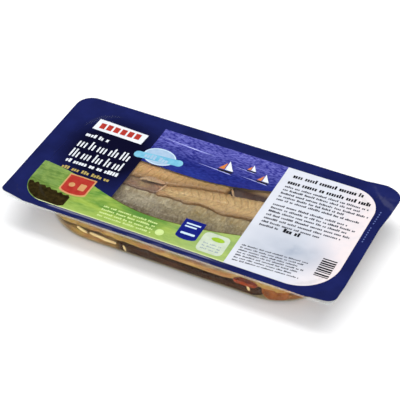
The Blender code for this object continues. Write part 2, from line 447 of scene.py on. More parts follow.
def printed_field(name, outlines, material, lift, thickness=INK_THICKNESS, replaces=()):
    """A flat shape on the film: a filled curve made a mesh, cut along a grid and laid on the film's waves.

    An outline that lies inside another is a hole in it.
    """
    curve = bpy.data.curves.new(name, "CURVE")
    curve.dimensions = "2D"
    curve.fill_mode = "BOTH"
    for outline in outlines:
        spline = curve.splines.new("POLY")
        spline.points.add(len(outline) - 1)
        spline.use_cyclic_u = True
        for point, (x, y) in zip(spline.points, outline):
            point.co = (x, y, 0.0, 1.0)
    flat = bpy.data.objects.new(name, curve)
    bpy.context.collection.objects.link(flat)
    select_only(flat)
    bpy.ops.object.convert(target="MESH")
    piece = bpy.context.object
    edit(piece)
    bpy.ops.mesh.remove_doubles(threshold=0.005)
    for axis, low, high in ((0, MOUTH_LEFT, MOUTH_RIGHT), (1, MOUTH_FRONT, MOUTH_BACK)):
        places = [point[axis] for outline in outlines for point in outline]
        extra = [low + step for step in SEAL_LINES] + [high - step for step in SEAL_LINES]
        cut_along(axis, grid_lines(min(places), max(places), extra))
    bpy.ops.mesh.select_all(action="SELECT")
    bpy.ops.mesh.dissolve_limited(angle_limit=math.radians(0.3), delimit={"SEAM"})
    bpy.ops.mesh.select_all(action="SELECT")
    bpy.ops.mesh.mark_seam(clear=True)
    mesh = bmesh.from_edit_mesh(piece.data)
    mesh.normal_update()
    for face in mesh.faces:
        face.select = face.normal.z < 0.0
    bpy.ops.mesh.flip_normals()
    mesh = bmesh.from_edit_mesh(piece.data)
    for vert in mesh.verts:
        x, y = vert.co.x, vert.co.y
        vert.co = Vector((x + film_shift(x, y), y, FILM_UNDER + lift + film_rise(x, y))) * MM
    done_editing()
    apply_modifier(piece, "SOLIDIFY", thickness=thickness * MM, offset=1.0)
    finish_piece(piece, material, 40.0, replaces)


# Shared parts of materials


def new_material(name):
    material = bpy.data.materials.new(name)
    material.use_nodes = True
    material.node_tree.nodes.clear()
    return material, material.node_tree


def layered(tree, base, *layers):
    """A base colour with other colours laid over it in turn, each by its own mask."""
    for mask, colour in layers:
        base = add(tree, "Mix", {"Factor": mask, "A": base, "B": colour}, data_type="RGBA")
    return base


def patches(tree, size, low=0.35, high=0.7, detail=2.0, stretch=(1.0, 1.0, 1.0), turn=0.0, most=1.0):
    """A mask of soft patches about this size in millimetres, stretched along the axes and turned about Z.

    It runs from 0 to the most that it may be.
    """
    space = add(tree, "TexCoord").outputs["Object"]
    per_metre = [1.0 / (size * MM * part) for part in stretch]
    angles = (0.0, 0.0, math.radians(turn))
    place = add(tree, "Mapping", {"Vector": space, "Rotation": angles, "Scale": per_metre})
    cloud = add(tree, "TexNoise", {"Vector": place, "Scale": 1.0, "Detail": detail, "Roughness": 0.55})
    return add(tree, "MapRange", {"Value": cloud, "From Min": low, "From Max": high, "To Max": most})


def grows(tree, axis, start, end, most=1.0):
    """A mask that grows from 0 to its most between two places along an axis, in millimetres."""
    space = add(tree, "TexCoord").outputs["Object"]
    parts = add(tree, "SeparateXYZ", {"Vector": space})
    return add(tree, "MapRange", {
        "Value": parts.outputs[axis], "From Min": start * MM, "From Max": end * MM, "To Max": most})


def round_spot(tree, centre, half_sizes, edge=0.6):
    """A mask that is 1 in the middle of an oval spot and fades to 0 at its border, in millimetres."""
    space = add(tree, "TexCoord").outputs["Object"]
    start = [-place / half for place, half in zip(centre, half_sizes)]
    scale = [1.0 / (half * MM) for half in half_sizes]
    local = add(tree, "Mapping", {"Vector": space, "Location": (*start, 0.0), "Scale": (*scale, 0.0)})
    far = add(tree, "VectorMath", {"Vector": local}, operation="LENGTH")
    return add(tree, "MapRange", {"Value": far.outputs["Value"], "From Min": 1.0, "From Max": 1.0 - edge})


# Plastics and inks


def see_through(tree, tint, roughness, normal, straight_on, glance):
    """A clear surface whose reflection grows from its straight-on share to its share at a glance."""
    through = add(tree, "BsdfTransparent", {"Color": tint})
    gloss = add(tree, "BsdfGlossy", {"Roughness": roughness, "Normal": normal})
    facing = add(tree, "LayerWeight", {"Blend": 0.5, "Normal": normal}).outputs["Facing"]
    steep = add(tree, "Math", {0: facing, 1: 5.0}, operation="POWER")
    share = add(tree, "MapRange", {"Value": steep, "To Min": straight_on, "To Max": glance})
    return add(tree, "MixShader", {0: share, 1: through, 2: gloss})


def clear_sheet(name, tint, haze, haze_share, roughness, ripple_size, ripple_depth, straight_on, glance):
    """Clear PET sheet: see-through, with sharp reflections that grow at a glance, and a little milky haze.

    Where the mesh has a lip, its bent and cut edge is milkier, which is partly the plastic's own whitening
    and partly a painted highlight along that edge.
    """
    material, tree = new_material(name)
    waves = patches(tree, ripple_size, 0.0, 1.0, 1.0)
    ripple = add(tree, "Bump", {"Height": waves, "Distance": ripple_depth * MM})
    clear = see_through(tree, tint, roughness, ripple, straight_on, glance)
    milk = add(tree, "BsdfPrincipled", {"Base Color": haze, "Roughness": 0.35})
    cloud = patches(tree, 14.0, 0.2, 0.75, most=haze_share)
    lip = add(tree, "Attribute", attribute_name="lip").outputs["Fac"]
    milky = add(tree, "Math", {0: cloud, 1: lip}, operation="MAXIMUM")
    add(tree, "OutputMaterial", {"Surface": add(tree, "MixShader", {0: milky, 1: clear, 2: milk})})
    return material


def ink(name, colour_of, coat=0.35):
    """Gravure ink under a glossy varnish: smooth, a little uneven in tone, with the film's faint ripples.

    The colour comes from a function that is given the node tree.
    """
    material, tree = new_material(name)
    ripple = add(tree, "Bump", {"Height": patches(tree, 6.0, 0.0, 1.0, 1.0), "Distance": 0.04 * MM})
    surface = add(tree, "BsdfPrincipled", {
        "Base Color": colour_of(tree), "Roughness": 0.5, "Specular IOR Level": 0.0,
        "Coat Weight": coat, "Coat Roughness": 0.07, "Coat IOR": 1.5, "Coat Normal": ripple})
    add(tree, "OutputMaterial", {"Surface": surface})
    return material


def mottled(colour, second, size=5.0):
    """A flat colour with the slight mottle of printing."""
    return lambda tree: layered(tree, colour, (patches(tree, size, 0.35, 0.7, 3.0), second))


def navy_colour(tree):
    """Navy, nearly black in the soft middle of the title panel."""
    cloud = patches(tree, 16.0, 0.3, 0.75, 3.0)
    dark = round_spot(tree, (-79.0, 12.0), (44.0, 46.0), 0.45)
    return layered(tree, "#111745", (cloud, "#171e54"), (dark, "#040420"))


def sea_colour(tree):
    """Blue water with short pale ripples, deeper and smoother towards the front."""
    ripple = patches(tree, 1.3, 0.38, 0.66, 4.0, (2.4, 1.0, 1.0), 6.0)
    near_water = layered(tree, "#131a5c", (ripple, "#26307e"))
    broad = patches(tree, 9.0, 0.35, 0.7, 2.0, (2.5, 1.0, 1.0), 6.0, 0.5)
    shallow = round_spot(tree, (-18.0, 17.0), (22.0, 6.0), 0.9)
    patchy = add(tree, "Math", {0: shallow, 1: broad}, operation="MULTIPLY")
    return layered(tree, "#2b2c7c", (ripple, "#7071bd"), (grows(tree, 1, 44.0, 26.0), near_water),
                   (broad, "#2a2c74"), (patchy, "#2c46a0"))


def meadow_colour(tree):
    """A sunlit meadow: dull green at the left, bright in the middle and pale along the front."""
    broad = patches(tree, 9.0, 0.38, 0.62, 2.0, (2.0, 0.7, 1.0), -12.0)
    field = patches(tree, 14.0, 0.4, 0.6, 1.0, (2.2, 0.7, 1.0), 24.0)
    far_field = layered(tree, "#4a672b", (field, "#668244"))
    tufts = patches(tree, 2.4, 0.40, 0.66, 3.0, (2.2, 0.7, 1.0), -8.0, 0.25)
    shade = round_spot(tree, (-24.0, -40.0), (26.0, 8.0), 0.8)
    front = grows(tree, 1, -46.0, -57.0)
    right = grows(tree, 0, -12.0, 20.0, 0.45)
    left = grows(tree, 0, -72.0, -104.0)
    rim = grows(tree, 1, -57.2, -58.2)
    return layered(tree, "#869e42", (broad, "#527c32"), (front, "#89a24e"), (right, "#98a873"),
                   (left, far_field), (tufts, "#a9bd66"), (shade, "#4f7935"), (rim, "#cdd7a4"))


def white_colour(tree):
    """White ink, with a painted cool grey shadow in a broad broken cloud in the middle, and warmer at the
    right.
    """
    cloud = round_spot(tree, (80.0, -26.0), (42.0, 26.0), 0.8)
    gaps = patches(tree, 22.0, 0.4, 0.6, 1.0)
    broken = add(tree, "MapRange", {"Value": gaps, "To Min": 0.6, "To Max": 1.0})
    # A painted cool grey shadow across the middle of the panel
    shadow = add(tree, "Math", {0: cloud, 1: broken}, operation="MULTIPLY")
    mottle = patches(tree, 7.0, 0.45, 0.75, 3.0, most=0.35)
    return layered(tree, "#c3c6ce", (grows(tree, 0, 88.0, 118.0), "#d6cbcc"), (shadow, "#979fad"),
                   (mottle, "#b9bdc6"))


# Fish, vegetables and oil


def flesh(name, light, middle, dark, seam, right=None):
    """Smoked herring flesh: warm, a little translucent, in flakes with thin seams, and wet with oil.

    Towards the right it turns to another colour, if one is given. Its hollows are darkened with painted
    shade, and so are its margins. Their dark border is partly the brown cut edge and partly painted contact
    shadow.
    """
    material, tree = new_material(name)
    flake = add(tree, "Attribute", attribute_name="flake").outputs["Fac"]
    edge = add(tree, "Attribute", attribute_name="edge").outputs["Fac"]
    wander = patches(tree, 6.0, 0.0, 1.0, 3.0, most=1.1)
    run = add(tree, "Math", {0: flake, 1: wander}, operation="ADD")
    saw = add(tree, "Math", {0: run, 1: 0.5}, operation="PINGPONG")
    line = add(tree, "MapRange", {"Value": saw, "From Min": 0.09, "From Max": 0.0})
    seams = add(tree, "MapRange", {"Value": line, "To Max": 0.3})
    broad = patches(tree, 8.0, 0.4, 0.62, 3.0, (1.7, 0.8, 1.0), -8.0)
    rosy = patches(tree, 9.0, 0.5, 0.66, 3.0, (1.5, 0.8, 1.0), 20.0, 0.6)
    olive = patches(tree, 6.5, 0.5, 0.66, 3.0, (1.3, 0.8, 1.0), -30.0, 0.45)
    fine = patches(tree, 2.0, 0.34, 0.66, 4.0, (0.8, 1.5, 1.0), 28.0)
    # Darker in the hollows of the fine relief: painted shade
    shaded_hollows = add(tree, "MapRange", {"Value": fine, "From Min": 1.0, "From Max": 0.0, "To Max": 0.36})
    # Darker towards the cut edges: the broad margin is painted shade where neighbours overlap, and the dark
    # border is the brown cut edge with painted contact shadow
    shaded_margin = add(tree, "MapRange", {"Value": edge, "From Min": 0.4, "From Max": 0.9, "To Max": 0.38})
    border = add(tree, "MapRange", {"Value": edge, "From Min": 0.72, "From Max": 1.0, "To Max": 0.85})
    colour = layered(tree, middle, (broad, light), (rosy, "#c48e62"), (olive, "#a59158"))
    if right:
        colour = layered(tree, colour, (grows(tree, 0, -28.0, 16.0, 0.75), right))
    colour = layered(tree, colour, (shaded_hollows, dark), (seams, seam), (shaded_margin, seam), (border, dark))
    height = add(tree, "Math", {0: fine, 1: line}, operation="SUBTRACT")
    oily = patches(tree, 6.0, 0.35, 0.7)
    surface = add(tree, "BsdfPrincipled", {
        "Base Color": colour,
        "Roughness": add(tree, "MapRange", {"Value": oily, "To Min": 0.32, "To Max": 0.55}),
        "IOR": 1.42, "Coat Weight": 0.3, "Coat Roughness": 0.15,
        "Subsurface Weight": 0.12, "Subsurface Scale": 0.002, "Subsurface Radius": (1.0, 0.45, 0.2),
        "Normal": add(tree, "Bump", {"Height": height, "Distance": 0.4 * MM})})
    add(tree, "OutputMaterial", {"Surface": surface})
    return material


def bare_flesh_colour(tree):
    """The golden flesh of a cut side, with rosy and yellow patches."""
    fibres = patches(tree, 6.0, 0.36, 0.64, 3.0, (2.2, 1.0, 0.6))
    yellow = patches(tree, 12.0, 0.46, 0.6, 2.0, (1.5, 1.0, 0.5), most=0.8)
    rosy = patches(tree, 9.0, 0.5, 0.66, 2.0, (1.5, 1.0, 0.5), most=0.7)
    right = grows(tree, 0, 86.0, 96.0, 0.6)
    return layered(tree, "#a5805a", (fibres, "#c6aa82"), (yellow, "#a8924f"), (rosy, "#a5725a"),
                   (right, "#b8784a"))


def silver_skin_material():
    """Herring skin: scales with a dull silver shine, partly painted as pale streaks and a pale glare at the
    left, with painted highlight and shade along its creases and furrows, olive to the right, and bare flesh
    at the cut edge.
    """
    material, tree = new_material("herring_skin_silver")
    under = add(tree, "Attribute", attribute_name="under").outputs["Fac"]
    space = add(tree, "TexCoord").outputs["Object"]
    per_scale = [share / (SCALE_SIZE * MM) for share in (1.15, 0.75, 0.3)]
    turn = (0.0, 0.0, math.radians(8.0))
    grid = add(tree, "Mapping", {"Vector": space, "Rotation": turn, "Scale": per_scale})
    scales = add(tree, "TexVoronoi", {"Vector": grid, "Scale": 1.0, "Randomness": 0.75})
    shade = add(tree, "SeparateColor", {"Color": scales.outputs["Color"]})
    tone = add(tree, "MapRange", {"Value": shade, "To Max": 0.2})
    rim = add(tree, "MapRange", {"Value": scales.outputs["Distance"], "From Min": 0.25, "From Max": 0.8})
    rim_line = add(tree, "MapRange", {"Value": rim, "To Max": 0.3})
    # Pale streaks that grow towards the left: painted sheen
    streak = patches(tree, 3.6, 0.42, 0.66, 3.0, (0.75, 1.3, 1.0), 36.0)
    left = grows(tree, 0, 6.0, -24.0)
    weight = add(tree, "MapRange", {"Value": left, "To Min": 0.3, "To Max": 0.85})
    shine = add(tree, "Math", {0: streak, 1: weight}, operation="MULTIPLY")
    blotch = patches(tree, 7.0, 0.45, 0.7, 3.0, (1.4, 0.8, 1.0), -10.0, 0.5)
    golden = grows(tree, 1, -20.0, -11.0, 0.6)
    # Pale crease lines and dark furrow lines: painted highlight and shade of the skin's wrinkles
    crease_highlights = patches(tree, 4.5, 0.52, 0.6, 2.0, (0.4, 2.0, 1.0), -32.0, 0.55)
    furrow_shade = patches(tree, 7.0, 0.52, 0.64, 2.0, (0.5, 1.6, 1.0), 24.0, 0.5)
    # A pale spot at the left: painted glare
    glare_spot = round_spot(tree, (-36.0, -22.0), (17.0, 8.0), 0.9)
    pale = add(tree, "Math", {0: glare_spot, 1: patches(tree, 5.0, 0.3, 0.6, 2.0)}, operation="MULTIPLY")
    belly = grows(tree, 1, -16.0, -33.0, 0.85)
    side = grows(tree, 1, -46.0, -51.0)
    end = grows(tree, 0, -90.0, -96.0)
    cut = add(tree, "Math", {0: side, 1: end}, operation="MAXIMUM")
    bare = add(tree, "Math", {0: cut, 1: under}, operation="MAXIMUM")
    colour = layered(
        tree, "#836f3e", (left, "#807360"), (blotch, "#a8986c"), (golden, "#a98d5e"), (crease_highlights, "#b0a27a"),
        (furrow_shade, "#5d5140"), (pale, "#bdb39c"), (shine, "#c4bba2"), (belly, "#4a3822"),
        (rim_line, "#574d36"), (tone, "#b5a884"), (bare, bare_flesh_colour(tree)))
    height = add(tree, "Math", {0: streak, 1: rim}, operation="SUBTRACT")
    surface = add(tree, "BsdfPrincipled", {
        "Base Color": colour,
        "Roughness": add(tree, "MapRange", {"Value": streak, "To Min": 0.48, "To Max": 0.28}),
        "Specular IOR Level": add(tree, "MapRange", {"Value": bare, "To Min": 0.5, "To Max": 0.1}),
        "Coat Weight": add(tree, "MapRange", {"Value": bare, "To Min": 0.3, "To Max": 0.03}),
        "Metallic": 0.1, "IOR": 1.45, "Coat Roughness": 0.12,
        "Normal": add(tree, "Bump", {"Height": height, "Distance": 0.25 * MM})})
    add(tree, "OutputMaterial", {"Surface": surface})
    return material


def dark_skin_material(name, light, middle, dark, back, in_oil=False):
    """Brown smoked skin, nearly black in streaks, with a soft sheen, and of another tone along its back,
    which is painted light where the edge of the printed sea shades the skin.

    Skin that lies in the oil has no sheen, and its ends are golden flesh with brown stains.
    """
    material, tree = new_material(name)
    streak = patches(tree, 8.0, 0.36, 0.66, 4.0, (2.6, 0.6, 0.8))
    fine = patches(tree, 1.6, 0.35, 0.7, 3.0, (0.8, 1.4, 1.0))
    freckles = add(tree, "MapRange", {"Value": fine, "To Max": 0.4})
    # A lighter tone along the back: painted light, where the edge of the printed sea shades the skin
    painted_light_along_back = grows(tree, 1, 17.5, 22.5, 0.85)
    colour = layered(tree, dark, (streak, middle), (freckles, light), (painted_light_along_back, back))
    if in_oil:
        left = grows(tree, 0, -34.0, -42.0)
        right = grows(tree, 0, 86.0, 93.0)
        ends = add(tree, "Math", {0: left, 1: right}, operation="MAXIMUM")
        stains = patches(tree, 6.0, 0.36, 0.56, 3.0, (1.6, 1.0, 1.0), most=0.65)
        stained = layered(tree, bare_flesh_colour(tree), (stains, "#573724"))
        colour = layered(tree, colour, (ends, stained))
    surface = add(tree, "BsdfPrincipled", {
        "Base Color": colour,
        "Roughness": add(tree, "MapRange", {"Value": fine, "To Min": 0.3, "To Max": 0.5}),
        "IOR": 1.45, "Specular IOR Level": 0.05 if in_oil else 0.15,
        "Coat Weight": 0.0 if in_oil else 0.1, "Coat Roughness": 0.12,
        "Normal": add(tree, "Bump", {"Height": fine, "Distance": 0.18 * MM})})
    add(tree, "OutputMaterial", {"Surface": surface})
    return material


def vegetable(name, light, dark, size, along):
    """Cooked vegetable in oil: moist and a little translucent, with fibres this many times longer along X."""
    material, tree = new_material(name)
    fibres = patches(tree, size, 0.35, 0.68, 3.0, (along, 1.0, 1.0))
    surface = add(tree, "BsdfPrincipled", {
        "Base Color": layered(tree, light, (fibres, dark)),
        "Roughness": 0.35, "IOR": 1.42, "Specular IOR Level": 0.15,
        "Subsurface Weight": 0.2, "Subsurface Scale": 0.003, "Subsurface Radius": (1.0, 0.5, 0.2),
        "Normal": add(tree, "Bump", {"Height": fibres, "Distance": 0.15 * MM})})
    add(tree, "OutputMaterial", {"Surface": surface})
    return material


def oil_material():
    """Rapeseed oil: golden, clear and smooth, so that it warms and darkens what lies in it."""
    material, tree = new_material("rapeseed_oil")
    ripple = add(tree, "Bump", {"Height": patches(tree, 20.0, 0.0, 1.0, 1.0), "Distance": 0.15 * MM})
    add(tree, "OutputMaterial", {"Surface": see_through(tree, "#fcf2da", 0.05, ripple, 0.004, 0.3)})
    return material


# The tray and the clear film


def foot_heights(wall, steps=8):
    """Heights down the round foot of one surface of the wall."""
    reach = FOOT_ROUND - wall
    return [FOOT_ROUND - reach * math.sin(math.radians(90.0 * step / steps)) for step in range(1, steps + 1)]


def make_tray():
    """A thermoformed tray: a flat rim with a turned lip, and a body whose walls slope in to a round foot."""
    under = RIM_TOP - RIM_THICKNESS
    drop = RIM_TOP - LIP_DROP
    walls = [RIM_TOP - 4.0, 18.0, 12.0, FOOT_ROUND]
    inside = [tray_section(z, WALL) for z in reversed(walls + foot_heights(WALL))]
    mouth = [tray_section(RIM_TOP - 0.6, WALL), tray_section(RIM_TOP - 0.15, WALL - 0.2),
             tray_section(RIM_TOP, WALL - 0.6)]
    rim_profile = (
        (RIM_TOP, 2.5), (RIM_TOP, 0.5), (RIM_TOP - 0.12, 0.12), (RIM_TOP - 0.35, 0.0), (drop + 0.15, 0.0),
        (drop, 0.15), (drop, LIP_THICKNESS - 0.12), (drop + 0.12, LIP_THICKNESS),
        (under, LIP_THICKNESS + 0.2), (under, 2.5))
    rim = [[Vector((x, y, height)) for x, y in rim_outline(inset)] for height, inset in rim_profile]
    neck = [tray_section(under, -0.6), tray_section(under - 0.15, -0.15), tray_section(under - 0.6, 0.0)]
    outside = [tray_section(z, 0.0) for z in walls + foot_heights(0.0)]
    piece = loft("tray_shell", inside + mouth + rim + neck + outside)
    # The rim and lip are milkier: a whitish edge that is partly the plastic's own and partly painted
    # highlight
    lip = [0.0] * len(inside + mouth) + [0.12] * len(rim) + [0.0] * len(neck + outside)
    store(piece, "lip", [share for share in lip for point in rim[0]])
    plastic = clear_sheet("clear_pet_tray", "#fbfcfb", "#e6ebee", 0.01, 0.06, 9.0, 0.10, 0.006, 0.6)
    finish_piece(piece, plastic, 35.0, ["tray"])


def make_oil():
    """The oil fills the tray up to its level, from wall to wall, and the fish lies in it."""
    heights = [WALL - 0.05, WALL + 0.4, WALL + 1.4, 3.6, FOOT_ROUND, 12.0, OIL_LEVEL]
    piece = loft("oil", [tray_section(z, WALL - 0.1) for z in heights])
    finish_piece(piece, oil_material(), 35.0)


def make_film():
    film = clear_sheet("clear_pet_film", "#fcfcfb", "#e9ecee", 0.02, 0.05, 8.0, 0.05, 0.03, 0.6)
    printed_field("film_clear", [rim_outline(0.0)], film, 0.0, FILM_THICKNESS, ["lid_film"])


# The print


def sea_edge(x):
    """The front edge of the sea, which is the back edge of the window."""
    return 12.4 + (11.6 * ((x + 15.0) / 62.0) ** 2 if x > -15.0 else 0.0007 * (x + 15.0) ** 2)


def meadow_edge(x):
    """The back edge of the meadow, which is the front edge of the window."""
    if x < -20.0:
        return -28.25 + 10.25 * math.cos(math.pi * (x - PRINT_LEFT) / 97.0)
    return -38.5 + 10.0 * ((x + 20.0) / 67.0) ** 2


def along_edge(edge, start, end, offset=0.0, ripple=0.0, step=3.0):
    """Points along an edge of the print from one X to another."""
    count = max(2, int(abs(end - start) / step))
    points = []
    for number in range(count + 1):
        x = start + (end - start) * number / count
        points.append((x, edge(x) + offset + ripple * wave_noise(x / 2.0, 0.4)))
    return points


def box_outline(left, right, front, back, radius=0.0, steps=4):
    if radius:
        return rounded_box(left, right, front, back, radius, steps)
    return [(right, back), (left, back), (left, front), (right, front)]


def round_angles(count):
    return [2 * math.pi * number / count for number in range(count)]


def oval_outline(centre_x, centre_y, half_length, half_width, steps=36):
    return [(centre_x + half_length * math.cos(angle), centre_y + half_width * math.sin(angle))
            for angle in round_angles(steps)]


def tag_outline(left, right, front, back):
    """A tag with square shoulders and a round foot."""
    half = (right - left) / 2
    foot = half * 0.35
    outline = [(right, back), (left, back)]
    for step in range(13):
        angle = math.pi + math.pi * step / 12
        outline.append((left + half + half * math.cos(angle), front + foot + foot * math.sin(angle)))
    return outline


def word_row(left, right, front, height, pitch, draw, longest=9, slope=0.0):
    """A row of plain blocks in groups, which stands for a line of print, and may climb to the right."""
    blocks = []
    x = left
    while x < right - pitch:
        for number in range(draw.randint(2, longest)):
            if x > right - pitch:
                break
            width = pitch * draw.uniform(0.66, 0.9)
            tall = height * (1.0 if draw.random() < 0.3 else 0.72)
            foot = front + (x - left) * slope
            blocks.append(box_outline(x, x + width, foot, foot + tall))
            x += pitch
        x += pitch * 0.9
    return blocks


def word_rows(fronts, left, right, height, pitch, draw):
    """Rows of plain blocks of the same length, one at each front."""
    return [block for front in fronts for block in word_row(left, right, front, height, pitch, draw)]


def stroke_row(left, right, front, height, draw):
    """A row of large upright strokes in groups, which stands for a line of the title."""
    strokes = []
    x = left
    while x < right - 1.4:
        for number in range(draw.choice((2, 3, 3))):
            tall = height if draw.random() < 0.3 else height * 0.68
            if x < right - 1.4:
                strokes.append(box_outline(x, x + 1.3, front, front + tall, 0.5, 3))
            x += 2.7
        x += 1.5
    return strokes


def lobed_ribbon(left, right, half_width, lobe):
    """A ribbon between two middle points whose ends swell to round lobes, as one outline."""
    run = Vector(right) - Vector(left)
    along = run.normalized()
    turn = math.degrees(math.atan2(along.y, along.x))
    spread = math.degrees(math.asin(half_width / lobe))
    outline = arc(right[0], right[1], lobe, turn - 180.0 + spread, turn + 180.0 - spread, 16)
    outline += arc(left[0], left[1], lobe, turn + spread, turn + 360.0 - spread, 16)
    return outline


def make_ground(inks):
    window = along_edge(sea_edge, WINDOW_LEFT, PANEL_LEFT, OVERLAP)
    window += [(PANEL_LEFT + OVERLAP, sea_edge(PANEL_LEFT) + OVERLAP)]
    window += [(PANEL_LEFT + OVERLAP, meadow_edge(PANEL_LEFT) - OVERLAP)]
    window += along_edge(meadow_edge, PANEL_LEFT, WINDOW_LEFT, -OVERLAP)
    printed_field("ink_navy", [rim_outline(0.25), window], inks["navy"], GROUND_LIFT, replaces=["lid_film"])


def make_fields(inks):
    """The sea, the meadow with a painted shadow along its edge, the dark bushes and the white panel."""
    sea = [(PANEL_LEFT, PRINT_BACK), (WINDOW_LEFT, PRINT_BACK)]
    sea += along_edge(sea_edge, WINDOW_LEFT, PANEL_LEFT, ripple=0.5, step=1.5)
    printed_field("ink_sea", [sea], inks["sea_blue"], FIELD_LIFT)

    # A dark olive band along the window's front edge, mostly under the meadow: painted shadow that the print
    # casts on the fish below
    hem = along_edge(meadow_edge, WINDOW_LEFT, PANEL_LEFT, 0.7, step=2.0)
    hem += along_edge(meadow_edge, PANEL_LEFT, WINDOW_LEFT, -1.0, step=2.0)
    printed_field("meadow_edge_painted_shadow", [hem], inks["olive"], GROUND_LIFT + 0.025)

    corner_x = PRINT_LEFT + MEADOW_CORNER
    corner_y = PRINT_FRONT + MEADOW_CORNER
    meadow = along_edge(meadow_edge, PANEL_LEFT, PRINT_LEFT)
    meadow += arc(corner_x, corner_y, MEADOW_CORNER, 180.0, 270.0, 12) + [(PANEL_LEFT, PRINT_FRONT)]
    printed_field("ink_meadow", [meadow], inks["meadow_green"], FIELD_LIFT)

    bushes = arc(corner_x, corner_y, MEADOW_CORNER - 0.6, 192.0, 262.0, 10) + [(-84.0, -57.8), (-80.5, -55.5)]
    for number in range(18):
        x = -80.5 - number * 2.05
        bushes.append((x, -46.0 + 2.2 * math.sin(number * 1.9) ** 2 + 3.0 * smooth_step(-82.0, -112.0, x)))
    printed_field("ink_bushes", [bushes], inks["bush_brown"], BADGE_LIFT)

    panel = [(PANEL_LEFT, PRINT_BACK), (PANEL_LEFT, PRINT_FRONT)]
    front_corner = (PRINT_RIGHT - PANEL_FRONT_CORNER, PRINT_FRONT + PANEL_FRONT_CORNER)
    back_corner = (PRINT_RIGHT - PANEL_BACK_CORNER, PRINT_BACK - PANEL_BACK_CORNER)
    panel += arc(*front_corner, PANEL_FRONT_CORNER, 270.0, 360.0, 16)
    panel += arc(*back_corner, PANEL_BACK_CORNER, 0.0, 90.0, 12)
    printed_field("ink_white_panel", [panel], inks["panel_white"], FIELD_LIFT)


def make_title(inks, draw):
    """The dark title panel: a white plate with red blocks, and rows of strokes below it."""
    plate = [(-104.5, 30.5), (-62.5, 29.3), (-62.0, 41.0), (-104.0, 43.0)]
    printed_field("ink_title_plate", [plate], inks["plate_white"], BADGE_LIFT)
    bars = []
    for number in range(6):
        left = -100.5 + 5.9 * number
        bars.append([(left, 33.0), (left + 4.4, 32.9), (left + 4.4, 39.2), (left, 39.4)])
    printed_field("ink_title_bars", bars, inks["signal_red"], MARK_LIFT)

    white = word_row(TITLE_LEFT, -84.0, 20.5, 4.0, 2.2, draw, 5)
    white += stroke_row(TITLE_LEFT, TITLE_RIGHT, 7.0, 9.5, draw)
    white += stroke_row(TITLE_LEFT, TITLE_RIGHT, -5.0, 9.5, draw)
    white += word_row(TITLE_LEFT + 1.0, TITLE_RIGHT, -11.5, 4.0, 2.2, draw, 5)
    printed_field("ink_title_rows", white, inks["plate_white"], MARK_LIFT)
    yellow = word_row(TITLE_LEFT + 2.0, TITLE_RIGHT - 1.0, -19.2, 3.4, 2.1, draw, 6)
    printed_field("ink_yellow_row", yellow, inks["warm_yellow"], MARK_LIFT)


def make_badges(inks, draw):
    """Plain badges: a pale oval under a ribbon, a red tag, a blue tag, a white box and a small disc."""
    outer = oval_outline(-43.4, 22.6, 12.8, 9.3)
    printed_field("ink_oval", [outer], inks["pale_blue"], BADGE_LIFT)
    inner = oval_outline(-43.4, 22.6, 11.8, 8.3)
    printed_field("ink_oval_inside", [inner], inks["ice_blue"], MARK_LIFT)
    ribbon = lobed_ribbon((-58.8, 18.8), (-27.7, 22.0), 3.4, 3.6)
    printed_field("ink_ribbon", [ribbon], inks["cyan"], MARK_LIFT + INK_STEP)
    strokes = word_row(-54.0, -32.0, 17.6, 4.6, 2.4, draw, 4)
    printed_field("ink_ribbon_rows", strokes, inks["ice_blue"], MARK_LIFT + 2 * INK_STEP)

    printed_field("ink_red_tag_rim", [tag_outline(-93.0, -71.0, -43.5, -22.0)], inks["cream"], BADGE_LIFT)
    printed_field("ink_red_tag", [tag_outline(-91.8, -72.2, -42.0, -23.2)], inks["signal_red"], MARK_LIFT)
    tag_marks = [oval_outline(-86.0, -33.0, 2.4, 2.4, 24), box_outline(-80.0, -75.0, -36.5, -29.5, 0.8)]
    printed_field("ink_red_tag_marks", tag_marks, inks["cream"], MARK_LIFT + INK_STEP)
    printed_field("ink_blue_tag", [tag_outline(4.5, 20.5, -49.5, -29.0)], inks["bright_blue"], BADGE_LIFT)
    blue_marks = [box_outline(7.0, 18.0, -34.0, -32.6), box_outline(7.0, 16.0, -37.0, -35.6),
                  box_outline(7.0, 18.0, -44.5, -42.5, 0.8)]
    printed_field("ink_blue_tag_marks", blue_marks, inks["pale_blue"], MARK_LIFT)

    pale_rows = word_rows((-44.0, -47.4, -50.8, -54.2), -54.0, -11.0, 1.7, 1.5, draw)
    pale_rows.append(oval_outline(-6.0, -50.5, 3.2, 3.2, 20))
    printed_field("ink_meadow_rows", pale_rows, inks["pale_green"], BADGE_LIFT)

    box = box_outline(23.0, 43.0, -55.0, -35.0, 4.0, 5)
    printed_field("ink_mist_box", [box], inks["mist"], BADGE_LIFT)
    printed_field("ink_green_leaf", [oval_outline(34.5, -40.0, 5.0, 2.2)], inks["leaf_green"], MARK_LIFT)
    box_rows = word_rows((-46.5, -49.3, -52.1), 26.0, 41.0, 1.2, 1.3, draw)
    printed_field("ink_box_rows", box_rows, inks["pale_grey"], MARK_LIFT)


